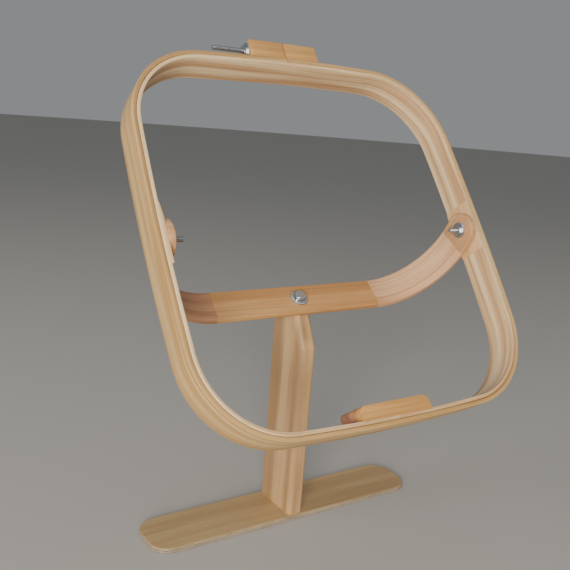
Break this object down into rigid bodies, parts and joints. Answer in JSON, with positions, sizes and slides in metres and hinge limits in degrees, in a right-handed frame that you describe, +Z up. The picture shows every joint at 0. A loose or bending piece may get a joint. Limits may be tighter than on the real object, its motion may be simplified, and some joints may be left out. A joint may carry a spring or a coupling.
{
  "type": "embroidery hoop on stand",
  "caption": "Rounded-square wooden quilting hoop with a clamped outer ring, pivoting in a bent wooden yoke that swivels on a post with a long narrow base plate.",
  "frame": {"origin": "on the table, under the middle of the base plate", "axes": "+X to the stitcher's right along the base plate and the pivots, +Y away from the stitcher, +Z up"},
  "size_m": [0.356, 0.2482, 0.4691],
  "materials": {
    "base_plywood": "thin oiled plywood with worn grey edges",
    "post_wood": "oiled solid wood with brown heart streaks",
    "bar_wood": "oiled solid wood",
    "bend_wood": "oiled solid wood, slightly pink",
    "ring_wood": "bent light wood, satin",
    "block_wood": "oiled solid wood, warm tan",
    "zinc_steel": "bright zinc plate"
  },
  "bodies": {
    "stand": {"base_plate": "base_plywood", "base_screws": "zinc_steel", "post": "post_wood"},
    "yoke": {"yoke_bar": "bar_wood", "yoke_corner_left": "bend_wood", "yoke_corner_right": "bend_wood", "yoke_eye_left": "bar_wood", "yoke_eye_right": "bar_wood"},
    "swivel_washer": {"swivel_washer": "zinc_steel"},
    "swivel_screw": {"swivel_screw": "zinc_steel"},
    "inner_hoop": {"inner_ring": "ring_wood", "splice_block_front": "block_wood", "splice_block_rear": "block_wood", "pivot_pad_left": "block_wood", "pivot_pad_right": "block_wood", "pivot_bolt_left": "zinc_steel", "pivot_bolt_right": "zinc_steel"},
    "pivot_washer_left": {"pivot_washer_left": "zinc_steel"},
    "pivot_nut_left": {"pivot_nut_left": "zinc_steel"},
    "pivot_washer_right": {"pivot_washer_right": "zinc_steel"},
    "pivot_nut_right": {"pivot_nut_right": "zinc_steel"},
    "outer_hoop": {"outer_ring": "ring_wood", "clamp_block_left": "block_wood", "clamp_block_right": "block_wood", "clamp_bolt": "zinc_steel"},
    "clamp_washer": {"clamp_washer": "zinc_steel"},
    "clamp_nut": {"clamp_nut": "zinc_steel"}
  },
  "joints": [
    {"name": "yoke_swivel", "type": "hinge", "parent": "stand", "child": "yoke", "pos_m": [0, 0.0026, 0.2217], "axis": [0, -0.5299, 0.848], "range_deg": [-180, 180]},
    {"name": "hoop_tilt", "type": "hinge", "parent": "yoke", "child": "inner_hoop", "pos_m": [0, -0.04584, 0.29921], "axis": [-1, 0, 0], "range_deg": [-36, 80]},
    {"name": "outer_hoop_release", "type": "slide", "parent": "inner_hoop", "child": "outer_hoop", "axis": [0, -0.809, 0.5878], "range_m": [0, 0.06]},
    {"name": "swivel_screw_travel", "type": "slide", "parent": "stand", "child": "swivel_washer", "axis": [0, -0.5299, 0.848], "range_m": [0, 0.03049]},
    {"name": "swivel_screw_turn", "type": "hinge", "parent": "swivel_washer", "child": "swivel_screw", "pos_m": [0, 0.0026, 0.2217], "axis": [0, -0.5299, 0.848], "range_deg": [0, 4320]},
    {"name": "clamp_nut_travel", "type": "slide", "parent": "outer_hoop", "child": "clamp_washer", "axis": [-1, 0, 0], "range_m": [0, 0.02753]},
    {"name": "clamp_nut_turn", "type": "hinge", "parent": "clamp_washer", "child": "clamp_nut", "pos_m": [-0.044, 0.06138, 0.45741], "axis": [-1, 0, 0], "range_deg": [0, 9360]},
    {"name": "pivot_nut_left_travel", "type": "slide", "parent": "inner_hoop", "child": "pivot_washer_left", "axis": [1, 0, 0], "range_m": [0, 0.00848]},
    {"name": "pivot_nut_left_turn", "type": "hinge", "parent": "pivot_washer_left", "child": "pivot_nut_left", "pos_m": [-0.159, -0.04584, 0.29921], "axis": [1, 0, 0], "range_deg": [0, 2880]},
    {"name": "pivot_nut_right_travel", "type": "slide", "parent": "inner_hoop", "child": "pivot_washer_right", "axis": [-1, 0, 0], "range_m": [0, 0.00848]},
    {"name": "pivot_nut_right_turn", "type": "hinge", "parent": "pivot_washer_right", "child": "pivot_nut_right", "pos_m": [0.159, -0.04584, 0.29921], "axis": [-1, 0, 0], "range_deg": [0, 2880]}
  ],
  "couplings": [
    {"joint": "swivel_screw_travel", "follows": "swivel_screw_turn", "m_per_rad": 0.00040425},
    {"joint": "clamp_nut_travel", "follows": "clamp_nut_turn", "m_per_rad": 0.00016844},
    {"joint": "pivot_nut_left_travel", "follows": "pivot_nut_left_turn", "m_per_rad": 0.00016844},
    {"joint": "pivot_nut_right_travel", "follows": "pivot_nut_right_turn", "m_per_rad": 0.00016844}
  ]
}
